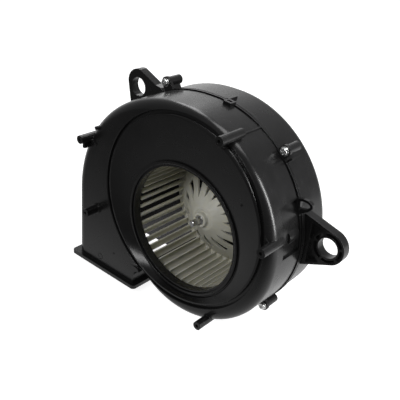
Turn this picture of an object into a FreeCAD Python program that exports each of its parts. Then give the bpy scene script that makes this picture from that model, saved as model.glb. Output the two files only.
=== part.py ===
import FreeCAD, Part
import math
import os
import Sketcher
from FreeCAD import Placement, Rotation, Vector

# Low-pressure centrifugal scroll blower with its brushed motor, holder, screws and leads.
# Fan axis = Y, inlet faces -Y (front), outlet points -Z, +X is right, +Z is up.
# Origin: on the fan axis, in the plane of the inlet throat. All sizes in millimetres.

doc = FreeCAD.newDocument("scroll_blower")
sheet = doc.addObject("Spreadsheet::Sheet", "dims")
pieces = []


# ---------------------------------------------------------------- driven numbers
class Value:
    """A number that also carries the sheet expression it came from."""

    def __init__(self, num, text):
        self.num, self.text = float(num), text

    def __add__(self, other):
        other = value(other)
        return Value(self.num + other.num, "(%s + %s)" % (self.text, other.text))

    def __radd__(self, other):
        return value(other) + self

    def __sub__(self, other):
        other = value(other)
        return Value(self.num - other.num, "(%s - %s)" % (self.text, other.text))

    def __rsub__(self, other):
        return value(other) - self

    def __mul__(self, other):
        other = value(other)
        return Value(self.num * other.num, "(%s * %s)" % (self.text, other.text))

    def __truediv__(self, other):
        other = value(other)
        return Value(self.num / other.num, "(%s / %s)" % (self.text, other.text))

    def __neg__(self):
        return Value(-self.num, "(0 - %s)" % self.text)

    @property
    def driven(self):
        return "dims" in self.text


def value(x):
    return x if isinstance(x, Value) else Value(x, repr(round(float(x), 6)))


def sqrt_of(x):
    return Value(math.sqrt(x.num), "sqrt(%s)" % x.text)


def cos_deg(angle):
    angle = value(angle)
    return Value(math.cos(math.radians(angle.num)), "cos(%s * 1 deg)" % angle.text)


def sin_deg(angle):
    angle = value(angle)
    return Value(math.sin(math.radians(angle.num)), "sin(%s * 1 deg)" % angle.text)


def at(angle, along, side=0):
    """Point (x, z) at a radius from the fan axis, moved sideways counter-clockwise in X, Z."""
    cos, sin = cos_deg(angle), sin_deg(angle)
    return cos * along - sin * side, sin * along + cos * side


sheet_rows = []


def dim(alias, number, note=""):
    """Write a driving dimension on the next row of the sheet."""
    sheet_rows.append(alias)
    row = str(len(sheet_rows))
    sheet.set("A" + row, alias)
    sheet.set("B" + row, str(number))
    sheet.set("C" + row, note)
    sheet.setAlias("B" + row, alias)
    return Value(number, "dims." + alias)


# ---------------------------------------------------------------- driving dimensions
wall = dim("wall_thk", 2.3, "shell wall")
y_front = dim("front_plane", -13, "front face of the volute")
y_seam = dim("seam_plane", 35, "joint plane of the shells")
y_rear = dim("rear_plane", 73, "rear face of the volute")
x_right = dim("scroll_right", 101.1, "rightmost reach of the scroll")
x_left = dim("scroll_left", -136.4, "outer wall of the duct")
z_top = dim("scroll_top", 116.5, "highest reach of the scroll")
z_low = dim("scroll_low", -84.2, "lowest reach of the scroll")
rad_up = dim("scroll_rad_up", 107.6, "arc radius, right side to top")
rad_left = dim("scroll_rad_left", 123.8, "arc radius, top to duct")
rad_start = dim("scroll_rad_start", 80, "arc radius under the wheel, next to the tongue")
x_duct = dim("duct_inner", -52, "outer surface of the duct's inner wall")
tongue = dim("tongue_rad", 8, "notch radius outside the tongue")
z_out = dim("outlet_plane", -88, "outlet flange face")
shoulder = dim("shoulder_rad", 10, "round on the front edge of the scroll")
rear_round = dim("rear_rad", 7, "round on the rear edge")
setback = dim("front_setback", 0, "front shell outline inside the rear shell outline")
bead = dim("bead_out", 1.2, "seam bead, proud of the outline")
disc_x = dim("disc_cx", 0, "centre of the front disc")
disc_z = dim("disc_cz", 19.8, "centre of the front disc")
groove_in = dim("disc_rad", 89.4, "inner edge of the disc groove")
groove_wide = dim("groove_wide", 3.3, "disc groove width")
groove_deep = dim("groove_deep", 3.4, "disc groove depth")
throat = dim("throat_rad", 60, "inlet throat radius")
rim_out = dim("rim_rad", 66, "outside radius of the raised inlet rim")
throat_end = dim("throat_end", 1, "inner end of the throat")
rim_y = dim("rim_front", -8.2, "front of the raised inlet rim")
dish_y = dim("dish_floor", -7, "dished disc where it meets the inlet rim")
flange_thk = dim("flange_thk", 4, "outlet flange thickness")
flange_proud = dim("flange_proud", 5, "outlet flange, proud of the duct sides")
flange_face = dim("flange_front", 4, "outlet flange, proud of the front and rear faces")
post_rad = dim("post_rad", 4.15, "screw post radius")
post_tip = dim("post_tip", -25, "tips of the screw posts")
pilot_rad = dim("pilot_rad", 1.65, "pilot hole in a post")
pilot_deep = dim("pilot_deep", 16, "pilot hole depth")
ear_rad = dim("ear_rad", 5.2, "screw ear radius at the seam")
boss_rad = dim("boss_rad", 4.4, "screw boss radius on the rear shell")
lug_hole = dim("lug_hole_rad", 9.3, "grommet hole in a mounting lug")
lug_y = dim("lug_front", 38, "front face of the lugs")
lug_thk = dim("lug_thk", 9, "lug thickness")
open_rad = dim("motor_open_rad", 44, "motor opening in the rear wall")
hold_y = dim("holder_seat", 78, "seat of the motor holder")
shaft_rad = dim("shaft_rad", 3, "motor shaft")
can_rad = dim("can_rad", 28, "motor can")
can_y = dim("can_front", 42, "front face of the motor can")
can_end = dim("can_back", 96, "open end of the motor can")
blade_in = dim("blade_in_rad", 59.5, "inner ends of the blades")
blade_out = dim("blade_out_rad", 67.5, "outer ends of the blades")
blade_count = dim("blade_count", 47, "blades on the wheel")
blade_thk = dim("blade_thk", 1.3, "blade thickness")
wheel_y = dim("wheel_front", 2, "front ring of the wheel")

# Housing screws: tag, angle, radius from the fan axis, radius where the ear meets the wall.
screws = [
    (dim("screw_ang_" + tag, angle, "housing screw, angle"),
     dim("screw_pos_" + tag, radius, "housing screw, radius"), root)
    for tag, angle, radius, root in [
        ("a", 52.2, 116.7, 106), ("b", 119.3, 131.0, 119), ("c", -40.3, 98.3, 89),
        ("d", 166.0, 141.5, 131), ("e", -158.5, 152.5, 142), ("f", -96.0, 91.5, 82)]]
screw_spots = [at(angle, radius) for angle, radius, _ in screws]

# Front screw posts on the scroll: tag, x, z.
post_spots = [
    (dim("post_x_" + tag, x, "screw post"), dim("post_z_" + tag, z, "screw post"))
    for tag, x, z in [("a", 45.6, 106.8), ("b", 97.6, 29.6), ("c", 43.2, -75.0), ("e", -118.4, 53.3)]]
# The screw post on the duct face.
duct_spot = [(dim("post_x_d", -107.0, "duct post"), dim("post_z_d", -20.8, "duct post"))]
duct_tip = dim("post_tip_d", -28, "tip of the duct post")
duct_root = dim("post_root_d", -11, "root of the duct post")

# Scroll: centres and radii of its four tangent arcs, in X, Z.
rad_low = z_top - z_low - rad_up
centre_start = (x_right - rad_low, z_low + rad_start)
centre_low = (x_right - rad_low, z_low + rad_low)
centre_up = (x_right - rad_up, z_top - rad_up)
centre_left = (x_left + rad_left, z_top - rad_left)
# The notch arc outside the tongue touches the duct wall and the first scroll arc.
notch_reach = rad_start + tongue
notch_x = x_duct + tongue
notch_dx = centre_start[0] - notch_x
notch_z = centre_start[1] - sqrt_of(notch_reach * notch_reach - notch_dx * notch_dx)

groove_out = groove_in + groove_wide
z_cut = z_out - 6                       # the hollows run out through the outlet
lip_in = setback + wall + 0.15          # rear locating lip, inside the outline
recess_deep, recess_z0, recess_z1, recess_y = 1.9, 11, 55.5, 5.5
snap_angle = 84.6
bore = shaft_rad + 0.03                 # bores of parts fixed on the shaft
right_hole, left_hole = (123.2, 19.8), (-105.7, 97.4)   # lug holes, x and z

# Motor holder and its retainer: screw angles and screw circles.
hold_angles, hold_circle = (45, 135, 225, 315), 54
ret_angles, ret_circle = (0, 120, 240), 36.4
hold_spots = [at(angle, hold_circle) for angle in hold_angles]
ret_spots = [at(angle, ret_circle) for angle in ret_angles]

slot_circle, slot_count = 15.6, 10      # armature slots
terminal_x, terminal_z = 9, -18         # motor terminals, one on each side
pin_xs = (48.25, 57.75)                 # connector pins


# ---------------------------------------------------------------- pieces and sketches
def keep(obj, label):
    obj.Label = label
    pieces.append(obj)


def new_body(name):
    return doc.addObject("PartDesign::Body", name)


def new_piece(label):
    """Body that is exported under its label."""
    body = new_body(label)
    keep(body, label)
    return body


def cut_piece(label, base, tool):
    cut = doc.addObject("Part::Cut", label)
    cut.Base = base
    cut.Tool = tool
    keep(cut, label)


def shape_piece(label, shape):
    obj = doc.addObject("Part::Feature", label)
    obj.Shape = shape
    obj.Placement = Placement()
    keep(obj, label)


def origin_item(body, role):
    for item in body.Origin.OriginFeatures:
        if item.Role == role:
            return item
    raise RuntimeError(role)


def new_sketch(body, name, role, offset=0, offset_x=0):
    """Sketch on an origin plane.

    XZ_Plane: x = X, y = Z, normal -Y, so an offset is given as -y.
    XY_Plane: x = X, y = Y, normal +Z.
    """
    sketch = body.newObject("Sketcher::SketchObject", name)
    sketch.AttachmentSupport = (origin_item(body, role), [""])
    sketch.MapMode = "FlatFace"
    offset, offset_x = value(offset), value(offset_x)
    sketch.AttachmentOffset = Placement(Vector(offset_x.num, 0, offset.num), Rotation())
    sketch.setExpression(".AttachmentOffset.Base.z", offset.text)
    if offset_x.driven:
        sketch.setExpression(".AttachmentOffset.Base.x", offset_x.text)
    return sketch


def add_size(sketch, size, *args):
    """Add a sized constraint and bind it where its size is driven."""
    index = sketch.addConstraint(Sketcher.Constraint(*args, size.num))
    if size.driven:
        sketch.setExpression("Constraints[%d]" % index, size.text)


def fix_coord(sketch, geo, pos, kind, coord):
    coord = value(coord)
    if abs(coord.num) < 1e-9 and not coord.driven:
        axis = -2 if kind == "DistanceX" else -1
        sketch.addConstraint(Sketcher.Constraint("PointOnObject", geo, pos, axis))
    else:
        add_size(sketch, coord, kind, geo, pos)


def fix_point(sketch, geo, pos, x, y):
    fix_coord(sketch, geo, pos, "DistanceX", x)
    fix_coord(sketch, geo, pos, "DistanceY", y)


def circle(sketch, x, z, radius):
    x, z, radius = value(x), value(z), value(radius)
    geo = sketch.addGeometry(
        Part.Circle(Vector(x.num, z.num, 0), Vector(0, 0, 1), radius.num), False)
    add_size(sketch, radius, "Radius", geo)
    fix_point(sketch, geo, 3, x, z)


def path(sketch, nodes):
    """Closed loop through nodes (x, y) or (x, y, arc).

    A node without arc starts a line. An arc is (centre x, centre y, radius, ccw); a half circle
    has a fifth entry, the centre coordinate to fix in place of the radius.
    """
    points = [(value(node[0]), value(node[1])) for node in nodes]
    ends = []       # geometry, its start position, its end position
    for i, node in enumerate(nodes):
        (x1, y1), (x2, y2) = points[i], points[(i + 1) % len(nodes)]
        if len(node) < 3:
            line = Part.LineSegment(Vector(x1.num, y1.num, 0), Vector(x2.num, y2.num, 0))
            ends.append((sketch.addGeometry(line, False), 1, 2))
            continue
        arc = node[2]
        cx, cy, radius = value(arc[0]), value(arc[1]), value(arc[2])
        a1 = math.atan2(y1.num - cy.num, x1.num - cx.num)
        a2 = math.atan2(y2.num - cy.num, x2.num - cx.num)
        full = Part.Circle(Vector(cx.num, cy.num, 0), Vector(0, 0, 1), radius.num)
        if arc[3]:
            while a2 <= a1:
                a2 += 2 * math.pi
            geo = sketch.addGeometry(Part.ArcOfCircle(full, a1, a2), False)
            ends.append((geo, 1, 2))
        else:
            while a1 <= a2:
                a1 += 2 * math.pi
            geo = sketch.addGeometry(Part.ArcOfCircle(full, a2, a1), False)
            ends.append((geo, 2, 1))
        if len(arc) > 4:
            fix_coord(sketch, geo, 3, arc[4], cx if arc[4] == "DistanceX" else cy)
        else:
            add_size(sketch, radius, "Radius", geo)
    for i in range(len(nodes)):
        following = (i + 1) % len(nodes)
        geo, _, end = ends[i]
        next_geo, start, _ = ends[following]
        sketch.addConstraint(Sketcher.Constraint("Coincident", geo, end, next_geo, start))
        fix_point(sketch, next_geo, start, *points[following])


# ---------------------------------------------------------------- profiles
def rect(sketch, x0, z0, x1, z1):
    path(sketch, [(x0, z0), (x1, z0), (x1, z1), (x0, z1)])


def box(sketch, x, z, half_x, half_z):
    rect(sketch, x - half_x, z - half_z, x + half_x, z + half_z)


def radial_box(sketch, angle, r0, r1, width):
    """Rectangle from radius r0 to r1 along the angle, width across."""
    half = value(width) / 2
    path(sketch, [at(angle, r0, -half), at(angle, r1, -half),
                  at(angle, r1, half), at(angle, r0, half)])


def tab(sketch, angle, root, radius, end_rad):
    """Tab from radius root out to a round end centred at the radius."""
    end_rad = value(end_rad)
    upright = abs(cos_deg(angle).num) <= abs(sin_deg(angle).num)
    hold = "DistanceY" if upright else "DistanceX"
    path(sketch, [
        at(angle, root, -end_rad),
        at(angle, radius, -end_rad) + (at(angle, radius) + (end_rad, True, hold),),
        at(angle, radius, end_rad),
        at(angle, root, end_rad)])


def ring_sector(sketch, cx, cz, r0, r1, a0, a1):
    """Part of a ring about (cx, cz) between two radii and two angles."""
    def point(radius, angle):
        angle = math.radians(angle)
        return cx + radius * math.cos(angle), cz + radius * math.sin(angle)

    path(sketch, [point(r1, a0) + ((cx, cz, r1, True),), point(r1, a1),
                  point(r0, a1) + ((cx, cz, r0, False),), point(r0, a0)])


def cross(sketch, x, z, long_x, short_x, short_z, long_z):
    """Twelve-sided cross: half lengths of its two bars."""
    path(sketch, [(x + dx, z + dz) for dx, dz in [
        (-long_x, -short_z), (-short_x, -short_z), (-short_x, -long_z), (short_x, -long_z),
        (short_x, -short_z), (long_x, -short_z), (long_x, short_z), (short_x, short_z),
        (short_x, long_z), (-short_x, long_z), (-short_x, short_z), (-long_x, short_z)]])


def each(draw_one, items):
    """Drawing function that draws every item in one sketch."""
    def draw(sketch):
        for item in items:
            draw_one(sketch, *item)
    return draw


def loops(*node_lists):
    return each(path, [(nodes,) for nodes in node_lists])


def circles(spots, radius):
    return each(circle, [(x, z, radius) for x, z in spots])


def on_axis(*radii):
    """Circles about the fan axis."""
    return each(circle, [(0, 0, radius) for radius in radii])


def terminal_boxes(half_x, half_z):
    return each(box, [(x, terminal_z, half_x, half_z) for x in (-terminal_x, terminal_x)])


def outline(out, z_end):
    """Scroll and duct outline, offset outward: notch, four arcs, a flat on top, duct walls."""
    out = value(out)
    share = (rad_start + out) / notch_reach
    touch_x = centre_start[0] - notch_dx * share
    touch_z = centre_start[1] - (centre_start[1] - notch_z) * share
    return [
        (x_duct + out, z_end),
        (x_duct + out, notch_z, (notch_x, notch_z, tongue - out, False)),
        (touch_x, touch_z, centre_start + (rad_start + out, True)),
        (centre_start[0], z_low - out, centre_low + (rad_low + out, True)),
        (x_right + out, centre_low[1], centre_up + (rad_up + out, True)),
        (centre_up[0], z_top + out),
        (centre_left[0], z_top + out, centre_left + (rad_left + out, True)),
        (x_left - out, centre_left[1]),
        (x_left - out, z_end)]


def recess(deep, z0, z1):
    """Outline of a recess that follows the right wall at a constant depth."""
    cx, cz = centre_up
    radius = rad_up - deep

    def wall_x(z):
        return cx + sqrt_of(radius * radius - (z - cz) * (z - cz))

    outside_x = 112
    return [(wall_x(z0), z0), (outside_x, z0), (outside_x, z1),
            (wall_x(z1), z1, (cx, cz, radius, False))]


# ---------------------------------------------------------------- features
def grow(body, kind, sketch, length):
    feature = body.newObject("PartDesign::" + kind, sketch.Name + "_" + kind.lower())
    feature.Refine = False
    feature.Profile = (sketch, [""])
    feature.Length = length.num
    if length.driven:
        feature.setExpression("Length", length.text)
    sketch.Visibility = False
    return feature


def pad_y(body, name, y0, y1, draw):
    """Pad between the planes y0 < y1; the sketch lies at y1 and the pad runs to -Y."""
    y0, y1 = value(y0), value(y1)
    sketch = new_sketch(body, name, "XZ_Plane", -y1)
    draw(sketch)
    return grow(body, "Pad", sketch, y1 - y0)


def cut_y(body, name, y0, y1, draw):
    """Pocket between the planes y0 < y1; the sketch lies at y0 and the pocket runs to +Y."""
    y0, y1 = value(y0), value(y1)
    sketch = new_sketch(body, name, "XZ_Plane", -y0)
    draw(sketch)
    return grow(body, "Pocket", sketch, y1 - y0)


def turn(body, name, nodes, kind="Revolution", offset=0, offset_x=0):
    """Full turn, added or cut, about an axis parallel to Y. Nodes are (radius, y)."""
    sketch = new_sketch(body, name, "XY_Plane", offset, offset_x)
    path(sketch, nodes)
    feature = body.newObject("PartDesign::" + kind, name + "_" + kind.lower())
    feature.Refine = False
    feature.Profile = (sketch, [""])
    feature.ReferenceAxis = (sketch, ["V_Axis"])
    feature.Angle = 360
    sketch.Visibility = False


def dish(body, name, wide, narrow):
    """Lofted cut between two circles, each given as (y, x, z, radius)."""
    sketches = []
    for suffix, (y, x, z, radius) in (("_wide", wide), ("_narrow", narrow)):
        sketch = new_sketch(body, name + suffix, "XZ_Plane", -value(y))
        circle(sketch, x, z, radius)
        sketches.append(sketch)
    loft = body.newObject("PartDesign::SubtractiveLoft", name)
    loft.Profile = (sketches[0], [""])
    loft.Sections = [(sketches[1], [""])]
    loft.Ruled = True
    loft.Refine = False
    for sketch in sketches:
        sketch.Visibility = False


def polar(body, feature, count):
    """Repeat a feature around the fan axis."""
    pattern = body.newObject("PartDesign::PolarPattern", feature.Name + "_pattern")
    pattern.Originals = [feature]
    pattern.Axis = (origin_item(body, "Y_Axis"), [""])
    pattern.Angle = 360
    count = value(count)
    pattern.Occurrences = int(count.num)
    if count.driven:
        pattern.setExpression("Occurrences", count.text)
    body.Tip = pattern


def fillet(body, base, radius, pick):
    """Round the edges of the base feature that pick accepts."""
    doc.recompute()
    names = ["Edge%d" % i for i, edge in enumerate(base.Shape.Edges, 1) if pick(edge)]
    if not names:
        raise RuntimeError("no edges for the fillet on " + base.Name)
    feature = body.newObject("PartDesign::Fillet", base.Name + "_round")
    feature.Base = (base, names)
    radius = value(radius)
    feature.Radius = radius.num
    if radius.driven:
        feature.setExpression("Radius", radius.text)


def on_plane(edge, axis, place):
    bound = edge.BoundBox
    low, high = {"y": (bound.YMin, bound.YMax), "z": (bound.ZMin, bound.ZMax)}[axis]
    place = value(place).num
    return abs(low - place) < 1e-3 and abs(high - place) < 1e-3


def at_y(y):
    """Edges on a plane across the fan axis."""
    return lambda edge: on_plane(edge, "y", y)


def outline_edges(y, z_open):
    """Edges of an outline on plane y, without the one across the outlet."""
    return lambda edge: on_plane(edge, "y", y) and not on_plane(edge, "z", z_open)


def flange_edges(y):
    """The two short upright edges of a flange on plane y."""
    return lambda edge: (on_plane(edge, "y", y)
                         and edge.BoundBox.ZLength > 3 and edge.BoundBox.XLength < 0.01)


def flange_rect():
    return each(rect, [(x_left - flange_proud, z_out, x_duct + flange_proud, z_out + flange_thk)])


# ---------------------------------------------------------------- front shell
# Plate round the strap slot, and the slot: x, z.
strap_plate = [
    (84, 48), (93, 41.5), (103, 48.5), (106.4, 52.6), (105.6, 55.6), (101.5, 57.8),
    (96.5, 58), (86, 55.6)]
strap_hole = [
    (94.6, 48), (100.6, 49.6), (103.9, 53), (103, 54.6), (101, 55.6), (96.5, 55.8), (94.2, 55)]
# Angles of the webs that join two posts to the wall.
top_post_web, left_post_web = 66.9, 155.8
ejector_x, ejector_z = -100.3, -75.2


def front_case(body):
    """Outline, duct corner, seam bead and outlet flange."""
    base = pad_y(body, "front_outline", y_front, y_seam, loops(outline(-setback, z_out)))
    fillet(body, base, shoulder, outline_edges(y_front, z_out))
    # Flat corner of the duct face beside the notch, where the big round does not run.
    edge_x = x_duct - setback
    corner_rad = tongue + setback
    pad_y(body, "duct_corner", y_front, y_front + 11, loops([
        (-68, z_out + 1), (edge_x, z_out + 1),
        (edge_x, notch_z, (notch_x, notch_z, corner_rad, False)),
        (notch_x, notch_z + corner_rad), (-46, -64), (-68, -60)]))
    pad_y(body, "front_bead", y_seam - 2, y_seam, loops(outline(bead - 0.2, z_out + 1)))
    cut_y(body, "seam_groove", y_seam - 3.4, y_seam - 2,
          loops(outline(3, z_out - 8), outline(-0.6, z_out - 5)))
    flange_y = y_front - flange_face
    flange = pad_y(body, "front_flange", flange_y, y_seam, flange_rect())
    fillet(body, flange, 4, flange_edges(flange_y))


def front_fixings(body):
    """Screw ears, posts with their webs, snap and strap loops."""
    pad_y(body, "front_ears", y_seam - 3, y_seam,
          each(tab, [(angle, root, radius, ear_rad) for angle, radius, root in screws]))
    pad_y(body, "posts", post_tip, 4, circles(post_spots, post_rad))
    pad_y(body, "duct_post", duct_tip, duct_root, circles(duct_spot, post_rad))
    pad_y(body, "duct_post_foot", y_front - 1.2, y_front + 2, circles(duct_spot, post_rad + 1.3))
    pad_y(body, "post_webs", -14, 3, each(radial_box, [
        (top_post_web, 104, 116.2, 2.4), (left_post_web, 118, 134, 2.4)]))
    pad_y(body, "axial_rib", 2, 34, each(radial_box, [(top_post_web, 104, 114, 1.2)]))
    # Snap loop at the top of the seam and strap loop above the right lug.
    pad_y(body, "snap_top", 27, 34.6, each(radial_box, [(snap_angle, 108, 118.6, 8.4)]))
    pad_y(body, "strap_loop", 31.2, 34.8, loops(strap_plate))
    # Short web under the left post and a nub on the shoulder beside it.
    pad_y(body, "post_rib", -20, -10, each(rect, [(-120, 43.5, -117, 53)]))
    pad_y(body, "shoulder_nub", -14.5, 0, each(circle, [(-107.5, 66, 1.8)]))


def front_face(body):
    """Disc dished towards the inlet, raised rim with a rounded throat, groove and small marks."""
    dish(body, "disc_dish", (y_front, disc_x, disc_z, 87.5), (dish_y, 0, 0, rim_out))
    lead_rad, edge_rad = 2, 1
    turn(body, "inlet_rim", [
        (throat, throat_end),
        (throat, rim_y + lead_rad, (throat + lead_rad, rim_y + lead_rad, lead_rad, False)),
        (throat + lead_rad, rim_y),
        (rim_out - edge_rad, rim_y, (rim_out - edge_rad, rim_y + edge_rad, edge_rad, False)),
        (rim_out, rim_y + edge_rad), (rim_out, dish_y + 2),
        (throat + wall, dish_y + 2), (throat + wall, throat_end)])
    turn(body, "disc_groove", [
        (groove_in - 0.7, y_front - 0.4), (groove_in, y_front + 0.7),
        (groove_in + 0.5, y_front + groove_deep), (groove_out - 0.5, y_front + groove_deep),
        (groove_out, y_front + 0.7), (groove_out + 0.7, y_front - 0.4),
        (groove_out + 0.7, y_front - 4), (groove_in - 0.7, y_front - 4)],
        "Groove", disc_z, disc_x)
    # Small moulding pips, and the ring of an ejector mark on the duct face.
    pad_y(body, "disc_pip", -10.8, -8.5, each(circle, [(64.1, 53.3, 0.9)]))
    pad_y(body, "face_pips", y_front - 0.6, y_front + 1,
          each(circle, [(-80.7, -62.5, 0.9), (-78, 74.5, 0.8)]))
    cut_y(body, "ejector_mark", y_front - 1, y_front + 0.35,
          each(circle, [(ejector_x, ejector_z, radius) for radius in (3.4, 2.7)]))


def front_cuts(body):
    """Recess beside the right lug with its blister, then the holes and slots."""
    cut_y(body, "side_recess", recess_y, 31, loops(recess(recess_deep, recess_z0, recess_z1)))
    pad_y(body, "recess_blister", 15, 29, each(circle, [(92.4, 26, 7.6)]))
    cut_y(body, "pilots", post_tip - 1, post_tip + pilot_deep, circles(post_spots, pilot_rad))
    cut_y(body, "duct_pilot", duct_tip - 1, duct_tip + pilot_deep - 3,
          circles(duct_spot, pilot_rad))
    cut_y(body, "ear_holes", y_seam - 4, y_seam + 1, circles(screw_spots, 2.15))
    cut_y(body, "snap_slot", 29.4, 32, each(radial_box, [(snap_angle, 117.2, 120, 5)]))
    cut_y(body, "strap_slot", 30, y_seam + 1, loops(strap_hole))


def front_hollow():
    """Inside of the front shell, leaving the wall behind each outer feature."""
    body = new_body("front_hollow")
    inside_y = y_front + wall
    base = pad_y(body, "front_inside", inside_y, y_seam + 2, loops(outline(-setback - wall, z_cut)))
    fillet(body, base, shoulder - wall, outline_edges(inside_y, z_cut))
    groove_floor = y_front + groove_deep + wall
    turn(body, "groove_back", [
        (groove_in - 2.4, inside_y - 1), (groove_out + 2.4, inside_y - 1),
        (groove_out + 1.6, groove_floor), (groove_in - 1.6, groove_floor)],
        "Groove", disc_z, disc_x)
    dish(body, "dish_back", (y_front + 2.1, disc_x, disc_z, 89),
         (dish_y + wall, 0, 0, rim_out + 0.5))
    turn(body, "rim_back", [
        (throat - 1, dish_y - 3), (throat + wall, dish_y - 3),
        (throat + wall, throat_end), (throat - 1, throat_end)], "Groove")
    pad_y(body, "inlet_clear", y_front - 10, throat_end + 4, on_axis(throat))
    cut_y(body, "recess_back", recess_y - wall, y_seam + 3,
          loops(recess(wall + recess_deep, recess_z0 - wall, recess_z1 + wall)))
    return body


def front_shell():
    body = new_body("front_outer")
    front_case(body)
    front_fixings(body)
    front_face(body)
    front_cuts(body)
    cut_piece("front_shell", body, front_hollow())


# ---------------------------------------------------------------- rear shell
# Lug outlines: x, z and, where an arc starts, the arc.
right_lug = [
    (90, -12), (107.6, -3.9), (130.4, 6.2, right_hole + (15.3883, True)),
    (125.6, 35.0), (108, 39.7), (88, 44.5)]
left_lug = [
    (-111, 58), (-119.6, 100, (-106.2, 101.4, 13.4729, False)),
    (-104.2, 114.7236), (-82.8, 105.3), (-75.5, 104.2), (-70, 99), (-79, 86)]
# Pockets round the hole of the right lug: start and end angle.
ring_cores = [(20, 106), (115, 161), (171, 243), (253, 313), (323, 372)]
# The two pockets beside the wall: x, z.
lower_core = [
    (105, -2.4), (117.2, 2.9), (114.8, 5), (111.2, 8.8), (108.3, 14.5), (107.6, 18.5), (105, 18.5)]
upper_core = [(105, 21.3), (107.6, 21.3), (108.8, 26), (111.9, 31), (115.3, 34.5), (105, 37.6)]
# Ribs on the rear face: angle, outer radius.
back_ribs = [(0, 84), (60, 98), (90, 101), (120, 104), (180, 118)]


def rear_case(body):
    """Outline, locating lip, seam bead and outlet flange."""
    base = pad_y(body, "rear_outline", y_seam, y_rear, loops(outline(0, z_out)))
    fillet(body, base, rear_round, outline_edges(y_rear, z_out))
    pad_y(body, "rear_lip", y_seam - 2.6, y_seam + 1, loops(outline(-lip_in, z_out + 0.5)))
    pad_y(body, "rear_bead", y_seam + 0.25, y_seam + 2.2, loops(outline(bead, z_out + 1)))
    flange_y = y_rear + flange_face
    flange = pad_y(body, "rear_flange", y_seam, flange_y, flange_rect())
    fillet(body, flange, 4, flange_edges(flange_y))


def rear_fixings(body):
    """Screw bosses with webs, two fins near the upper screws, and the lugs."""
    pad_y(body, "bosses", y_seam, y_seam + 15, circles(screw_spots, boss_rad))
    pad_y(body, "boss_webs", y_seam, y_seam + 13,
          each(radial_box, [(angle, root, radius, 2.4) for angle, radius, root in screws]))
    pad_y(body, "gusset", y_seam, y_seam + 12,
          each(radial_box, [(48.2, 104, 116, 1.6), (87.2, 110, 118.2, 3)]))
    pad_y(body, "lugs", lug_y, lug_y + lug_thk, loops(right_lug, left_lug))
    cut_y(body, "lug_bores", lug_y - 2, lug_y + lug_thk + 2,
          circles([right_hole, left_hole], lug_hole))
    # Cored pockets in the front of the right lug, split by ribs.
    cut_y(body, "lug_ring_cores", lug_y - 1, lug_y + 6,
          each(ring_sector, [right_hole + (10.9, 13.8) + angles for angles in ring_cores]))
    cut_y(body, "lug_cores", lug_y - 1, lug_y + 6, loops(lower_core, upper_core))


def rear_face(body):
    """Collar, bosses and webs for the motor holder, stiffening ribs and connector seat."""
    collar_rad = open_rad + 2.6
    turn(body, "motor_collar", [
        (open_rad, y_rear - wall), (collar_rad, y_rear - wall),
        (collar_rad, hold_y), (open_rad, hold_y)])
    base_y = y_rear - 1
    pad_y(body, "holder_bosses", base_y, hold_y, circles(hold_spots, 4.6))
    pad_y(body, "holder_webs", base_y, hold_y - 1,
          each(radial_box, [(angle, 45, hold_circle, 2.2) for angle in hold_angles]))
    pad_y(body, "back_ribs", base_y, y_rear + 4,
          each(radial_box, [(angle, 45.5, radius, 2) for angle, radius in back_ribs]))
    pad_y(body, "connector_seat", base_y, y_rear + 3, each(rect, [(40, -62, 66, -44)]))


def rear_cuts(body):
    # The locating lip stops short of the recess in the front shell.
    cut_y(body, "lip_notch", y_seam - 4, y_seam, each(rect, [(80, 3, 120, 62)]))
    cut_y(body, "motor_opening", y_rear - 12, y_rear + 20, on_axis(open_rad))
    cut_y(body, "boss_holes", y_seam - 1, y_seam + 13.4, circles(screw_spots, 1.75))
    cut_y(body, "holder_holes", y_rear - 0.2, hold_y + 1, circles(hold_spots, 1.6))


def rear_hollow():
    body = new_body("rear_hollow")
    inside_y = y_rear - wall
    base = pad_y(body, "rear_inside", y_seam + 2.2, inside_y, loops(outline(-wall, z_cut)))
    fillet(body, base, rear_round - wall, outline_edges(inside_y, z_cut))
    pad_y(body, "lip_inside", y_seam - 6, y_seam + 3, loops(outline(-lip_in - 1.3, z_cut)))
    return body


def rear_shell():
    body = new_body("rear_outer")
    rear_case(body)
    rear_fixings(body)
    rear_face(body)
    rear_cuts(body)
    cut_piece("rear_shell", body, rear_hollow())


def housing_screws():
    """Screws at the seam, heads to the front."""
    body = new_piece("housing_screws")
    head_y = y_seam - 6.3
    pad_y(body, "screw_shanks", y_seam - 3, y_seam + 12.6, circles(screw_spots, 1.68))
    pad_y(body, "screw_flanges", y_seam - 4, y_seam - 3, circles(screw_spots, 4.1))
    heads = pad_y(body, "screw_heads", head_y, y_seam - 4, circles(screw_spots, 3.3))
    fillet(body, heads, 0.8, at_y(head_y))
    cut_y(body, "screw_drive", y_seam - 7, y_seam - 4.9,
          each(cross, [(x, z, 2, 0.5, 0.5, 2) for x, z in screw_spots]))


# ---------------------------------------------------------------- impeller
# Hub, cone and back ring of the wheel: radius, y. Rear ends of the blades sit on its ring.
wheel_back = [
    (bore, 21.6), (4.4, 21.6), (4.4, 20.2, (5.9, 20.2, 1.5, True, "DistanceY")), (7.4, 20.2),
    (7.6, 22.8), (8.6, 23.8), (9.6, 23.3), (12, 24), (25, 32.5), (40, 45), (54, 57.6),
    (57, 61.4), (59, 64.8), (blade_in + 1.5, 66), (blade_out, 66), (blade_out + 1, 66.8),
    (blade_out + 1, 68.2), (58, 68.2), (54, 60.8), (40, 47.6), (25, 34.9),
    (12, 26.4), (8, 25.6), (7.6, 32), (bore, 32)]
# Crescent slot in the cone: corners before the turn (x, z), turn angle, bulge of its long sides.
cone_slot_corners = [(19.5, 0.2), (41, -2.2), (38.6, 4.6)]
cone_slot_turn, bulge_first, bulge_last = 6, 2.8, 1.0
cone_slot_count = 15
# Blade arc: angle that sets its centre, mean radius, turn of the first blade.
blade_lean, blade_arc, blade_turn = 14.3, 6.8, 0.8


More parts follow.
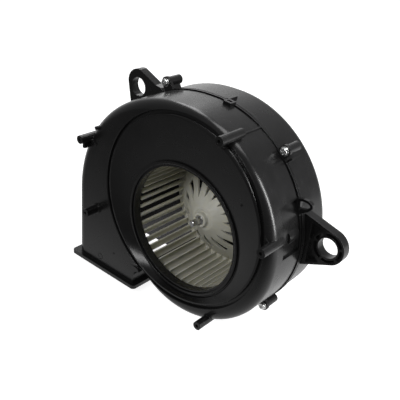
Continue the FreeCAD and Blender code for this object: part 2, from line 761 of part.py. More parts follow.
def bow(start, end, bulge):
    """Centre and radius of an arc that bulges to the right of the way from start to end."""
    dx, dz = end[0] - start[0], end[1] - start[1]
    chord = math.hypot(dx, dz)
    radius = (chord * chord / 4 + bulge * bulge) / (2 * bulge)
    mid_x, mid_z = (start[0] + end[0]) / 2, (start[1] + end[1]) / 2
    return (mid_x - dz / chord * (radius - bulge), mid_z + dx / chord * (radius - bulge), radius)


def turned(angle, points):
    cos, sin = math.cos(math.radians(angle)), math.sin(math.radians(angle))
    return [(x * cos - z * sin, x * sin + z * cos) for x, z in points]


def cone_slot():
    inner, first, last = turned(cone_slot_turn, cone_slot_corners)
    return [inner + (bow(inner, first, bulge_first) + (True,),), first,
            last + (bow(inner, last, bulge_last) + (False,),)]


def blade_profile():
    """Forward-curved blade between two arcs about one centre."""
    lean = math.radians(blade_lean)
    cx = blade_in.num + blade_arc * math.sin(lean)
    cz = blade_arc * math.cos(lean)
    dist = math.hypot(cx, cz)
    ux, uz = cx / dist, cz / dist

    def hit(wheel_rad, arc_rad):
        """Point of the blade arc that lies at the wheel radius."""
        along = (wheel_rad * wheel_rad - arc_rad * arc_rad + dist * dist) / (2 * dist)
        side = math.sqrt(max(wheel_rad * wheel_rad - along * along, 0))
        return along * ux + side * uz, along * uz - side * ux

    wide = blade_arc + blade_thk.num / 2
    tight = blade_arc - blade_thk.num / 2
    in_wide, in_tight, out_wide, out_tight, centre = turned(blade_turn, [
        hit(blade_in.num, wide), hit(blade_in.num, tight),
        hit(blade_out.num, wide), hit(blade_out.num, tight), (cx, cz)])
    return [in_wide + (centre + (wide, True),), out_wide,
            out_tight + (centre + (tight, False),), in_tight]


def impeller():
    body = new_piece("impeller")
    turn(body, "wheel_back", wheel_back)
    # Front ring that ties the blade ends together.
    turn(body, "wheel_ring", [
        (blade_out - 1.2, wheel_y), (blade_out + 1.2, wheel_y),
        (blade_out + 1.2, wheel_y + 4), (blade_out - 0.4, wheel_y + 4.6)])
    slot = cut_y(body, "cone_slot", 20, 56, loops(cone_slot()))
    polar(body, slot, cone_slot_count)
    blade = pad_y(body, "blade", wheel_y + 0.6, 66.8, loops(blade_profile()))
    polar(body, blade, blade_count)


# ---------------------------------------------------------------- shaft and armature
def motor_shaft():
    body = new_piece("motor_shaft")
    front, back, chamfer = 8, 104, 0.5
    turn(body, "shaft_bar", [
        (0, front), (shaft_rad - chamfer, front), (shaft_rad, front + chamfer),
        (shaft_rad, back - chamfer), (shaft_rad - chamfer, back), (0, back)])
    cut_y(body, "shaft_flat", 7, 19, each(rect, [(2.45, -4, 5, 4)]))


def hub_retaining_ring():
    inner = shaft_rad + 0.02
    turn(new_piece("hub_retaining_ring"), "hub_ring_turn",
         [(inner, 20.6), (4.2, 20.4), (4.2, 21.0), (inner, 21.2)])


def armature_core():
    """Slotted stack; each slot is a round hole open to the rim."""
    body = new_piece("armature_core")
    pad_y(body, "core_stack", 52, 70, on_axis(20.8, bore))
    slot = cut_y(body, "core_slot", 51, 71, loops([
        (22, -0.9), (22, 0.9), (17.8341, 0.9, (slot_circle, 0, 2.4086, True)), (17.8341, -0.9)]))
    polar(body, slot, slot_count)


def armature_windings():
    """End turns at both ends, joined by a bar in each slot."""
    body = new_piece("armature_windings")
    turn(body, "winding_front", [
        (5, 47), (15, 46), (18, 47.5), (18.6, 49.8), (17, 51.9), (5, 51.9)])
    turn(body, "winding_rear", [
        (5, 70.1), (17, 70.1), (18.6, 72), (17.6, 74.2), (14, 75.2), (5, 75.2)])
    bar = pad_y(body, "winding_bar", 51.5, 70.5, each(circle, [(slot_circle, 0, 2.2)]))
    polar(body, bar, slot_count)


def commutator():
    body = new_piece("commutator")
    turn(body, "comm_turn", [
        (bore, 76), (9.6, 76), (9.6, 76.9), (8.5, 76.9), (8.5, 84.4), (bore, 84.4)])
    gap = cut_y(body, "comm_gap", 75.5, 85, each(rect, [(7.7, -0.25, 10.5, 0.25)]))
    polar(body, gap, slot_count)


def thrust_washers():
    body = new_piece("thrust_washers")
    inner, outer, thick = shaft_rad + 0.02, 5.2, 0.6
    for name, y in (("thrust_front", 44.3), ("thrust_rear", 94.6)):
        turn(body, name, [(inner, y), (outer, y), (outer, y + thick), (inner, y + thick)])


# ---------------------------------------------------------------- motor stator
plate = 1.2                 # sheet thickness of the can and the end cap
neck_out, neck_in = 8.6, 7.4    # bearing housings of the can and the end cap
neck_hole = 3.6


def motor_can():
    corner = 3
    turn(new_piece("motor_can"), "can_turn", [
        (neck_hole, 36), (neck_out, 36), (neck_out, can_y),
        (can_rad - corner, can_y, (can_rad - corner, can_y + corner, corner, True)),
        (can_rad, can_y + corner), (can_rad, can_end), (can_rad - plate, can_end),
        (can_rad - plate, can_y + plate), (neck_in, can_y + plate),
        (neck_in, 36 + plate), (neck_hole, 36 + plate)])


def motor_end_cap():
    body = new_piece("motor_end_cap")
    seat = can_end + 0.02
    turn(body, "cap_turn", [
        (neck_hole, 103), (neck_hole, 103 - plate), (neck_in, 103 - plate), (neck_in, seat),
        (can_rad, seat), (can_rad, can_end + plate), (neck_out, can_end + plate), (neck_out, 103)])
    cut_y(body, "cap_slots", can_end - 1, can_end + 3, terminal_boxes(4, 1.2))
    cut_y(body, "cap_vents", can_end - 1, can_end + 3, each(circle, [
        (-17, 6, 2.6), (17, 6, 2.6), (0, 18, 2.6), (-12, 13, 2.2), (12, 13, 2.2)]))


def bearings():
    inner = shaft_rad + 0.05
    for name, y0, y1 in (("front_bearing", 37.3, 43.0), ("rear_bearing", 96.2, 101.7)):
        middle = (y0 + y1) / 2
        turn(new_piece(name), name + "_turn", [
            (inner, y0), (6.2, y0), (7.35, middle - 1), (7.35, middle + 1),
            (6.2, y1), (inner, y1)])


def bearing_retainers():
    body = new_piece("bearing_retainers")
    turn(body, "retain_front", [(4.2, 43.3), (12, 43.3), (12, 43.7), (4.2, 43.9)])
    turn(body, "retain_rear", [(4.2, 95.4), (12, 95.6), (12, 95.98), (4.2, 95.9)])


def magnets():
    """Two magnet arcs, and the spring arcs between them at the top and bottom."""
    for name, middle in (("magnet_right", 0), ("magnet_left", 180)):
        pad_y(new_piece(name), name + "_arc", 49, 74,
              each(ring_sector, [(0, 0, 22.3, 26.75, middle - 68, middle + 68)]))
    pad_y(new_piece("magnet_springs"), "magnet_spring_arcs", 52, 71, each(ring_sector, [
        (0, 0, 25.9, 26.7, middle - 20, middle + 20) for middle in (90, 270)]))


def brush_card():
    body = new_piece("brush_card")
    pad_y(body, "card_disc", 85, 86.5, on_axis(26.6, 10.5))
    cut_y(body, "card_slots", 84, 87, terminal_boxes(3.6, 0.6))


def brush_gear(side, sign):
    """Brush box, brush and coil spring above (sign 1) or below (sign -1) the shaft."""
    def block(half_x, near, far):
        z0, z1 = sorted((sign * near, sign * far))
        return each(rect, [(-half_x, z0, half_x, z1)])

    case = new_piece("brush_box_" + side)
    pad_y(case, "box_outer_" + side, 76.5, 84.95, block(3.6, 10.4, 25.7))
    cut_y(case, "box_inner_" + side, 77.0, 84.45, block(3.1, 9.4, 25.2))
    brush = new_piece("brush_" + side)
    pad_y(brush, "brush_block_" + side, 77.1, 84.35, block(3, 7.0, 17.5))
    cut_y(brush, "brush_face_" + side, 76, 86, on_axis(8.56))
    # The spring lies between the brush and the closed end of its box.
    low, high = sorted((sign * 17.95, sign * 24.8))
    turns, coil_rad, wire_rad = 5.5, 2.0, 0.38
    helix = Part.makeHelix((high - low) / turns, high - low, coil_rad)
    helix.translate(Vector(0, 80.7, low))
    spine = Part.Wire(helix.Edges)
    start = min(spine.Vertexes, key=lambda vertex: vertex.Z).Point
    section = Part.Wire([Part.Circle(start, Vector(0, 1, 0.17), wire_rad).toShape()])
    shape_piece("brush_spring_" + side, spine.makePipeShell([section], True, True))


def choke_coils():
    body = new_piece("choke_coils")
    y0, y1 = 87.2, 92.2
    coils = pad_y(body, "choke_pads", y0, y1,
                  each(cross, [(0, z, 8, 5.5, 1.5, 2.6) for z in (15.2, -12.6)]))
    fillet(body, coils, 1.1, lambda edge: edge.BoundBox.XLength > 10 and (
        on_plane(edge, "y", y0) or on_plane(edge, "y", y1)))


def motor_terminals():
    pad_y(new_piece("motor_terminals"), "terminal_blades", 86.9, 108, terminal_boxes(3.15, 0.4))


# ---------------------------------------------------------------- motor holder and mounting
def motor_holder():
    """Sleeve round the motor with a flange on the collar, four ears and ribs."""
    body = new_piece("motor_holder")
    seat, flange_top, sleeve = hold_y + 0.05, hold_y + 3, 33.8
    turn(body, "holder_turn", [
        (29.2, 52), (sleeve, 52), (sleeve, seat), (48.5, seat), (50, hold_y + 1.5),
        (50, flange_top), (sleeve, flange_top), (sleeve, 84), (31.6, 84), (31.6, 54), (29.2, 54)])
    pad_y(body, "holder_ears", seat, flange_top,
          each(tab, [(angle, 44, hold_circle, 6.2) for angle in hold_angles]))
    pad_y(body, "holder_bosses_rear", hold_y + 2, 84, circles(ret_spots, 3.2))
    pad_y(body, "holder_ribs", hold_y + 2.5, 83, each(radial_box, [
        (angle, 33, 46, 1.8) for angle in (30, 60, 90, 150, 180, 210, 270, 300, 330)]))
    cut_y(body, "holder_ear_holes", hold_y - 1, hold_y + 5, circles(hold_spots, 2.1))
    cut_y(body, "holder_pilots", 79.2, 85, circles(ret_spots, 1.25))


def motor_holder_screws():
    body = new_piece("motor_holder_screws")
    head_y, top_y = hold_y + 3, hold_y + 5.6
    pad_y(body, "holder_screw_shanks", y_rear + 0.3, head_y, circles(hold_spots, 1.55))
    heads = pad_y(body, "holder_screw_heads", head_y, top_y, circles(hold_spots, 3.9))
    fillet(body, heads, 0.9, at_y(top_y))
    cut_y(body, "holder_screw_drive", hold_y + 4.4, hold_y + 6.5,
          each(box, [(x, z, 2.2, 0.45) for x, z in hold_spots]))


def isolators():
    """Sleeves between the can and the holder, waisted outside."""
    inner, outer, waist = can_rad + 0.03, 31.57, 30.9
    for name, y0, y1 in (("isolator_front", 54.1, 62), ("isolator_rear", 74, 83.9)):
        turn(new_piece(name), name + "_turn", [
            (inner, y0), (outer, y0), (outer, y0 + 2), (waist, y0 + 2.6),
            (waist, y1 - 2.6), (outer, y1 - 2), (outer, y1), (inner, y1)])


def motor_retainer():
    body = new_piece("motor_retainer")
    y0, y1 = 84.02, 85.2
    pad_y(body, "retainer_ring", y0, y1, on_axis(33.6, 28.8))
    pad_y(body, "retainer_tabs", y0, y1,
          each(tab, [(angle, 31, ret_circle, 3.4) for angle in ret_angles]))
    cut_y(body, "retainer_holes", 83, 86, circles(ret_spots, 1.5))


def retainer_screws():
    body = new_piece("retainer_screws")
    pad_y(body, "retainer_screw_shanks", 79.6, 85.2, circles(ret_spots, 1.2))
    heads = pad_y(body, "retainer_screw_heads", 85.2, 87.2, circles(ret_spots, 2.7))
    fillet(body, heads, 0.6, at_y(87.2))


# ---------------------------------------------------------------- leads and connector
def connector_housing():
    body = new_piece("connector_housing")
    top_y = y_rear + 14
    block = pad_y(body, "connector_block", y_rear + 3.05, top_y, each(rect, [(42, -66, 64, -46)]))
    fillet(body, block, 1.2,
           lambda edge: abs(edge.BoundBox.YLength) > 9 or on_plane(edge, "y", top_y))
    cut_y(body, "connector_cavity", y_rear + 4.6, y_rear + 12.4,
          each(rect, [(43.6, -68, 62.4, -54)]))
    pad_y(body, "connector_latch", y_rear + 13.5, y_rear + 15.5, each(rect, [(50, -63, 56, -50)]))
    cut_y(body, "connector_ways", y_rear + 7.2, y_rear + 9.9,
          each(rect, [(x - 1.35, -55, x + 1.35, -45) for x in pin_xs]))


def connector_pins():
    pad_y(new_piece("connector_pins"), "connector_blades", y_rear + 8.1, y_rear + 8.9,
          each(rect, [(x - 1.3, -63.5, x + 1.3, -48.6) for x in pin_xs]))


def lead(label, x0, x1, lift):
    """Cable from a terminal at x0 to a connector pin at x1; lift keeps the leads apart."""
    points = [Vector(*point) for point in [
        (x0, 108.05, terminal_z), (x0, 110, terminal_z), (x0 + 3, 113 + lift / 2, -20),
        (x0 + 12, 110 + lift / 2, -26), (28 + lift, 98, -32 + lift),
        (x1 - 8, 88, -34 + lift / 2), (x1 - 1, 82.8, -38), (x1, 81.55, -43.5),
        (x1, 81.55, -48.1)]]
    curve = Part.BSplineCurve()
    curve.interpolate(points)
    section = Part.Wire([Part.Circle(points[0], Vector(0, 1, 0), 1.25).toShape()])
    shape_piece(label, Part.Wire([curve.toShape()]).makePipeShell([section], True, False))


def export_pieces():
    doc.recompute()
    bad = []
    for obj in doc.Objects:
        if "Invalid" in obj.State or "Error" in obj.State:
            bad.append("%s %s" % (obj.Name, obj.State))
    for obj in pieces:
        if obj.Shape.isNull() or not obj.Shape.isValid() or not obj.Shape.Solids:
            bad.append("%s has no valid shape" % obj.Label)
    if bad:
        raise RuntimeError("; ".join(bad))
    os.makedirs("parts", exist_ok=True)
    for obj in pieces:
        obj.Shape.exportStep("parts/%s.step" % obj.Label)


front_shell()
rear_shell()
housing_screws()
impeller()
motor_shaft()
hub_retaining_ring()
armature_core()
armature_windings()
commutator()
thrust_washers()
motor_can()
motor_end_cap()
bearings()
bearing_retainers()
magnets()
brush_card()
brush_gear("upper", 1)
brush_gear("lower", -1)
choke_coils()
motor_terminals()
motor_holder()
motor_holder_screws()
isolators()
motor_retainer()
retainer_screws()
connector_housing()
connector_pins()
lead("lead_negative", -terminal_x, pin_xs[0], 0)
lead("lead_positive", terminal_x, pin_xs[1], 4)
export_pieces()
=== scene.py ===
"""Fan with a two-part black housing, a pale impeller and a brushed motor.

Metres, +Z up. The fan axis lies along Y, and the motor brushes slide along Z.
The camera stands at +X -Y, above the part, so "back" here means +Y and "left" means -X.
"""
import math

import bmesh
import bpy
from mathutils import Matrix, Vector

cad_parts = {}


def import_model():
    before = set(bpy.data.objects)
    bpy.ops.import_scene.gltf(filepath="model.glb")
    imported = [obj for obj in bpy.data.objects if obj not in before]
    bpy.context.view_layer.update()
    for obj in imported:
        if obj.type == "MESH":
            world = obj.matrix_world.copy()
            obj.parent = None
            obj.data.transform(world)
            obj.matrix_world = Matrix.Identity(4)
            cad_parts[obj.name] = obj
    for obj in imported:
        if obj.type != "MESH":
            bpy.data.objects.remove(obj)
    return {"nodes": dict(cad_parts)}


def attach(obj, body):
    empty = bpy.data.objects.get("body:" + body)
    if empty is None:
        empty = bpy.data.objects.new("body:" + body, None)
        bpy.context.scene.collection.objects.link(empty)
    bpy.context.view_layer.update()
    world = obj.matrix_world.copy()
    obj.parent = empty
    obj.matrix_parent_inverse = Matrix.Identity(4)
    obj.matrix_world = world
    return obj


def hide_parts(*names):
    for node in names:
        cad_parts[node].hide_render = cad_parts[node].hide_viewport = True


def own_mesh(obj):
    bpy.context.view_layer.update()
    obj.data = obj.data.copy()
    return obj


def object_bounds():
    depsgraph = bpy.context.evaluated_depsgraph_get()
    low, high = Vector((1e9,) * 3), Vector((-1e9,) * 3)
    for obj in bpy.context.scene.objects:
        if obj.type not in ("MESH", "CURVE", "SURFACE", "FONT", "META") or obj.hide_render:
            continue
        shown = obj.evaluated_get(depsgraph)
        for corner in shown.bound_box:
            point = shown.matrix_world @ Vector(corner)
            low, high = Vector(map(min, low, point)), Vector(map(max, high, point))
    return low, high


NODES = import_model()["nodes"]
LOW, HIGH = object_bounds()
scene = bpy.context.scene

SHARP_ANGLE = math.radians(28)

# Brush springs
BRUSH_AXIS_Y = 0.0807
SPRING_INNER_Z = 0.01798  # spring end nearest the fan axis
SPRING_OUTER_Z = 0.02478
COIL_TURNS = 5.5
COIL_STEPS = 200
COIL_RADIUS = 0.0020
COIL_SHARP_ANGLE = math.radians(50)
WIRE_SIDES = 10
WIRE_RADIUS = 0.00038

# Floor disc
FLOOR_X, FLOOR_Y = -0.02, 0.03
FLOOR_RADIUS = 2.4
FLOOR_SIDES = 24
FLOOR_GAP = 0.0006  # below the lowest point of the part


# ------------------------------------------------------------------ node helpers
class Graph:
    """An emptied node tree of a material or world, with helpers that add and link nodes."""

    def __init__(self, owner):
        owner.use_nodes = True
        self.tree = owner.node_tree
        self.tree.nodes.clear()

    def new(self, kind, **settings):
        node = self.tree.nodes.new(kind)
        for name, value in settings.items():
            setattr(node, name, value)
        return node

    def join(self, source, target):
        self.tree.links.new(source, target)

    def feed(self, socket, value):
        """Link a socket, or set a plain value; colours are given as RGB."""
        if isinstance(value, bpy.types.NodeSocket):
            self.join(value, socket)
        elif socket.type == "RGBA":
            socket.default_value = (*value, 1.0)
        else:
            socket.default_value = value

    def span(self, factor, low, high, start=0.3, end=0.7):
        """Map start..end of the factor onto low..high."""
        node = self.new("ShaderNodeMapRange")
        limits = {"From Min": start, "From Max": end, "To Min": low, "To Max": high}
        for name, value in limits.items():
            node.inputs[name].default_value = value
        self.join(factor, node.inputs["Value"])
        return node.outputs["Result"]


class Shader(Graph):
    """A Principled material whose textures use object coordinates."""

    def __init__(self, name):
        self.material = bpy.data.materials.new(name)
        super().__init__(self.material)
        self.out = self.new("ShaderNodeOutputMaterial")
        self.bsdf = self.new("ShaderNodeBsdfPrincipled")
        self.join(self.bsdf.outputs["BSDF"], self.out.inputs["Surface"])
        self.coord = self.new("ShaderNodeTexCoord").outputs["Object"]

    def put(self, **values):
        """Set Principled inputs by name, such as base_color for Base Color."""
        sockets = {s.name.lower().replace(" ", "_"): s for s in self.bsdf.inputs}
        for name, value in values.items():
            self.feed(sockets[name], value)

    def noise(self, scale, detail=2.0, roughness=0.5, vector=None):
        node = self.new("ShaderNodeTexNoise")
        node.inputs["Scale"].default_value = scale
        node.inputs["Detail"].default_value = detail
        node.inputs["Roughness"].default_value = roughness
        self.join(vector or self.coord, node.inputs["Vector"])
        return node.outputs["Fac"]

    def streaks(self, frequency, detail=3.0, roughness=0.6):
        """Noise with its own frequency along X, Y and Z; a low one draws it out."""
        mapping = self.new("ShaderNodeMapping")
        mapping.inputs["Scale"].default_value = frequency
        self.join(self.coord, mapping.inputs["Vector"])
        return self.noise(1.0, detail, roughness, mapping.outputs["Vector"])

    def bands(self, scale, direction, distortion=0.0):
        node = self.new("ShaderNodeTexWave", bands_direction=direction)
        node.inputs["Scale"].default_value = scale
        node.inputs["Distortion"].default_value = distortion
        self.join(self.coord, node.inputs["Vector"])
        return node.outputs["Fac"]

    def cells(self, scale):
        node = self.new("ShaderNodeTexVoronoi")
        node.inputs["Scale"].default_value = scale
        self.join(self.coord, node.inputs["Vector"])
        return node.outputs["Distance"]

    def ramp(self, factor, stops):
        """Colour ramp through (position, RGB) stops."""
        node = self.new("ShaderNodeValToRGB")
        elements = node.color_ramp.elements
        while len(elements) < len(stops):
            elements.new(0.5)
        for element, (position, colour) in zip(elements, stops):
            element.position = position
            element.color = (*colour, 1.0)
        self.join(factor, node.inputs["Fac"])
        return node.outputs["Color"]

    def two_tone(self, factor, dark, light, start=0.3, end=0.7):
        return self.ramp(factor, [(start, dark), (end, light)])

    def math(self, operation, *operands):
        node = self.new("ShaderNodeMath", operation=operation)
        for socket, value in zip(node.inputs, operands):
            self.feed(socket, value)
        return node.outputs[0]

    def bump(self, height, strength, distance, edge=0.0):
        """Surface relief; edge is the radius of the rounding shaded onto corners."""
        node = self.new("ShaderNodeBump")
        node.inputs["Strength"].default_value = strength
        node.inputs["Distance"].default_value = distance
        self.join(height, node.inputs["Height"])
        if edge:
            bevel = self.new("ShaderNodeBevel", samples=4)
            bevel.inputs["Radius"].default_value = edge
            self.join(bevel.outputs["Normal"], node.inputs["Normal"])
        self.join(node.outputs["Normal"], self.bsdf.inputs["Normal"])


# ------------------------------------------------------------------ material families
def mottled(name, tones, tone_noise, roughness, rough_noise, bump_noise, strength, distance,
            edge=0.0, tone_end=0.7, **surface):
    """Separate noises drive colour, roughness and relief.

    Tones are (dark, light) RGB, roughness is (low, high), and each noise is
    (scale, detail, roughness), where the later entries may be left out.
    """
    shader = Shader(name)
    shader.put(
        base_color=shader.two_tone(shader.noise(*tone_noise), *tones, end=tone_end),
        roughness=shader.span(shader.noise(*rough_noise), *roughness),
        **surface,
    )
    shader.bump(shader.noise(*bump_noise), strength, distance, edge)
    return shader.material


def streaked(name, frequency, tones, roughness, strength, distance,
             detail=3.0, noise_roughness=0.6, **surface):
    """One drawn-out noise drives colour, roughness and relief together."""
    shader = Shader(name)
    lines = shader.streaks(frequency, detail, noise_roughness)
    shader.put(
        base_color=shader.two_tone(lines, *tones),
        roughness=shader.span(lines, *roughness),
        **surface,
    )
    shader.bump(lines, strength, distance, edge=0.0002)
    return shader.material


def black_plastic(name, dark, light, roughness):
    """Near-black plastic between two grey levels, each very slightly tinted."""
    return mottled(
        name,
        tones=((dark, dark * 0.99, dark * 1.02), (light, light * 0.985, light)),
        tone_noise=(22.0, 3.0, 0.55), tone_end=0.72,
        roughness=roughness, rough_noise=(70.0, 3.0, 0.6),
        bump_noise=(2600.0, 2.0, 0.6), strength=0.011, distance=0.00005, edge=0.0005,
        specular_ior_level=0.5, sheen_weight=0.03)


def plated(name, tint, roughness, edge=0.00025):
    return mottled(
        name, tones=([level * 0.9 for level in tint], tint), tone_noise=(260.0, 3.0, 0.6),
        roughness=roughness, rough_noise=(420.0, 3.0, 0.6),
        bump_noise=(900.0, 3.0, 0.6), strength=0.05, distance=0.00005, edge=edge,
        metallic=1.0)


def insulation(name, dark, light):
    return mottled(
        name, tones=(dark, light), tone_noise=(200.0, 3.0),
        roughness=(0.28, 0.42), rough_noise=(300.0, 3.0),
        bump_noise=(900.0, 2.0), strength=0.08, distance=0.00008,
        coat_weight=0.2)


# ------------------------------------------------------------------ single materials
def drawn_steel():
    """Zinc-coated deep-drawn steel: spangled, with faint draw lines along the fan axis."""
    shader = Shader("zinc_coated_steel")
    spangle = shader.cells(420.0)
    draw_lines = shader.streaks((900.0, 24.0, 900.0))
    average = shader.math("ADD", shader.math("MULTIPLY", spangle, 0.5),
                          shader.math("MULTIPLY", draw_lines, 0.5))
    shader.put(
        metallic=1.0,
        base_color=shader.two_tone(average, dark=(0.44, 0.445, 0.45), light=(0.60, 0.605, 0.60),
                                   start=0.2, end=0.65),
        roughness=shader.span(average, low=0.30, high=0.46, start=0.2, end=0.65),
    )
    shader.bump(draw_lines, strength=0.10, distance=0.00004, edge=0.0004)
    return shader.material


def sintered_bronze():
    """Small grains, rougher at their centres."""
    shader = Shader("sintered_bronze")
    grain = shader.cells(1800.0)
    shader.put(
        metallic=1.0,
        base_color=shader.two_tone(grain, dark=(0.34, 0.22, 0.11), light=(0.58, 0.40, 0.21),
                                   start=0.1, end=0.6),
        roughness=shader.span(grain, low=0.55, high=0.38, start=0.1, end=0.6),
    )
    shader.bump(grain, strength=0.25, distance=0.00006, edge=0.0002)
    return shader.material


def laminations():
    """Thin punched sheets stacked along the fan axis."""
    shader = Shader("stacked_laminations")
    sheets = shader.bands(314.0, "Y")
    shader.put(
        metallic=0.9,
        base_color=shader.two_tone(sheets, dark=(0.10, 0.10, 0.11), light=(0.33, 0.33, 0.34),
                                   start=0.15, end=0.5),
        roughness=shader.span(shader.noise(260.0, detail=3.0), low=0.35, high=0.5),
    )
    shader.bump(sheets, strength=0.5, distance=0.0001, edge=0.0002)
    return shader.material


def enamelled_copper():
    """Turns of wire side by side; the colour is darkened in the gap between turns as painted
    shade.
    """
    shader = Shader("enamelled_copper")
    turns = shader.bands(420.0, "DIAGONAL", distortion=1.5)
    # The first stop is painted shade in the gap between turns; the other two are the copper's
    # own tones.
    stops = [(0.05, (0.16, 0.045, 0.015)), (0.45, (0.62, 0.25, 0.10)), (0.9, (0.74, 0.36, 0.17))]
    shader.put(
        metallic=0.85,
        base_color=shader.ramp(turns, stops),
        roughness=shader.span(shader.noise(300.0, detail=3.0), low=0.22, high=0.34),
        coat_weight=0.5,
        coat_roughness=0.15,
    )
    shader.bump(turns, strength=0.8, distance=0.00025, edge=0.0003)
    return shader.material


# ------------------------------------------------------------------ finishes
BLACK = black_plastic("black_polypropylene", dark=0.0045, light=0.0078, roughness=(0.20, 0.29))
HOLDER = black_plastic(
    "black_glass_filled_plastic", dark=0.016, light=0.024, roughness=(0.42, 0.56))
WHEEL = mottled(
    "natural_polypropylene",
    tones=((0.60, 0.59, 0.50), (0.68, 0.67, 0.585)), tone_noise=(30.0, 3.0, 0.55),
    roughness=(0.34, 0.50), rough_noise=(90.0, 3.0, 0.6),
    bump_noise=(1500.0, 2.0, 0.5), strength=0.06, distance=0.00006, edge=0.0003,
    subsurface_weight=0.35, subsurface_radius=(0.0032, 0.0030, 0.0022), subsurface_scale=1.0,
    specular_ior_level=0.45)
SCREW = plated("zinc_plate", tint=(0.80, 0.805, 0.80), roughness=(0.16, 0.30))
SPRING = plated("spring_steel", tint=(0.50, 0.50, 0.49), roughness=(0.26, 0.40), edge=0.0001)
STEEL = streaked(
    "bright_steel", frequency=(60.0, 2600.0, 60.0),
    tones=((0.52, 0.52, 0.52), (0.66, 0.66, 0.655)), roughness=(0.20, 0.36),
    strength=0.10, distance=0.00003, metallic=1.0)
CAN = drawn_steel()
BRASS = streaked(
    "stamped_brass", frequency=(260.0, 1800.0, 260.0),
    tones=((0.62, 0.45, 0.19), (0.78, 0.60, 0.30)), roughness=(0.22, 0.38),
    strength=0.08, distance=0.00004, metallic=1.0)
FERRITE = mottled(
    "sintered_ferrite",
    tones=((0.045, 0.045, 0.05), (0.085, 0.085, 0.09)), tone_noise=(900.0, 4.0, 0.7),
    roughness=(0.55, 0.75), rough_noise=(300.0, 3.0),
    bump_noise=(2200.0, 4.0, 0.7), strength=0.25, distance=0.00008, edge=0.0003)
BRONZE = sintered_bronze()
CORE = laminations()
ENAMEL = enamelled_copper()
COPPER = streaked(
    "turned_copper", frequency=(80.0, 3000.0, 80.0),
    tones=((0.55, 0.25, 0.13), (0.72, 0.38, 0.22)), roughness=(0.24, 0.4),
    strength=0.12, distance=0.00004, metallic=1.0)
CARBON = mottled(
    "sintered_carbon",
    tones=((0.028, 0.028, 0.03), (0.075, 0.072, 0.07)), tone_noise=(1400.0, 4.0, 0.7),
    roughness=(0.42, 0.6), rough_noise=(500.0, 3.0),
    bump_noise=(2600.0, 3.0, 0.7), strength=0.2, distance=0.00006, edge=0.0002,
    metallic=0.25)
CARD = streaked(
    "phenolic_board", frequency=(700.0, 700.0, 160.0), detail=4.0, noise_roughness=0.65,
    tones=((0.14, 0.06, 0.022), (0.26, 0.125, 0.05)), roughness=(0.4, 0.55),
    strength=0.2, distance=0.00006)
RUBBER = mottled(
    "moulded_rubber",
    tones=((0.016, 0.016, 0.016), (0.03, 0.03, 0.031)), tone_noise=(180.0, 3.0),
    roughness=(0.62, 0.8), rough_noise=(200.0, 3.0),
    bump_noise=(1300.0, 3.0), strength=0.2, distance=0.00008, edge=0.0004,
    specular_ior_level=0.35)
NYLON = mottled(
    "natural_nylon",
    tones=((0.55, 0.53, 0.44), (0.62, 0.60, 0.52)), tone_noise=(60.0, 3.0),
    roughness=(0.30, 0.42), rough_noise=(150.0, 2.0),
    bump_noise=(2200.0, 2.0), strength=0.05, distance=0.00005, edge=0.0003,
    subsurface_weight=0.12, subsurface_radius=(0.002, 0.0018, 0.0012))
RED = insulation("red_insulation", dark=(0.34, 0.012, 0.010), light=(0.44, 0.020, 0.016))
DARK = insulation("black_insulation", dark=(0.014, 0.014, 0.015), light=(0.024, 0.024, 0.025))
RETAINER = plated("retainer_zinc", tint=(0.66, 0.66, 0.65), roughness=(0.28, 0.4))

# Each finish with the pieces that wear it.
FINISHES = [
    (BLACK, ["front_shell", "rear_shell"]),
    (HOLDER, ["motor_holder"]),
    (WHEEL, ["impeller"]),
    (SCREW, ["housing_screws", "motor_holder_screws", "retainer_screws"]),
    (STEEL, ["motor_shaft"]),
    (SPRING, ["hub_retaining_ring", "thrust_washers", "bearing_retainers", "magnet_springs",
              "brush_spring_upper", "brush_spring_lower"]),
    (RETAINER, ["motor_retainer"]),
    (CAN, ["motor_can", "motor_end_cap"]),
    (FERRITE, ["magnet_left", "magnet_right"]),
    (BRONZE, ["front_bearing", "rear_bearing"]),
    (CORE, ["armature_core"]),
    (ENAMEL, ["armature_windings", "choke_coils"]),
    (COPPER, ["commutator"]),
    (CARBON, ["brush_upper", "brush_lower"]),
    (BRASS, ["brush_box_upper", "brush_box_lower", "motor_terminals", "connector_pins"]),
    (CARD, ["brush_card"]),
    (RUBBER, ["isolator_front", "isolator_rear"]),
    (NYLON, ["connector_housing"]),
    (RED, ["lead_positive"]),
    (DARK, ["lead_negative"]),
]


def apply_finishes():
    unfinished = set(NODES).difference(*(pieces for _, pieces in FINISHES))
    if unfinished:
        raise RuntimeError("no finish for " + ", ".join(sorted(unfinished)))
    for material, pieces in FINISHES:
        for piece in pieces:
            mesh = NODES[piece].data
            if not mesh.materials:
                mesh.materials.append(material)
            for i in range(len(mesh.materials)):
                mesh.materials[i] = material
            mesh.shade_smooth()
            mesh.set_sharp_from_angle(angle=SHARP_ANGLE)


# ------------------------------------------------------------------ objects
def add_object(name, data):
    obj = bpy.data.objects.new(name, data)
    scene.collection.objects.link(obj)
    return obj


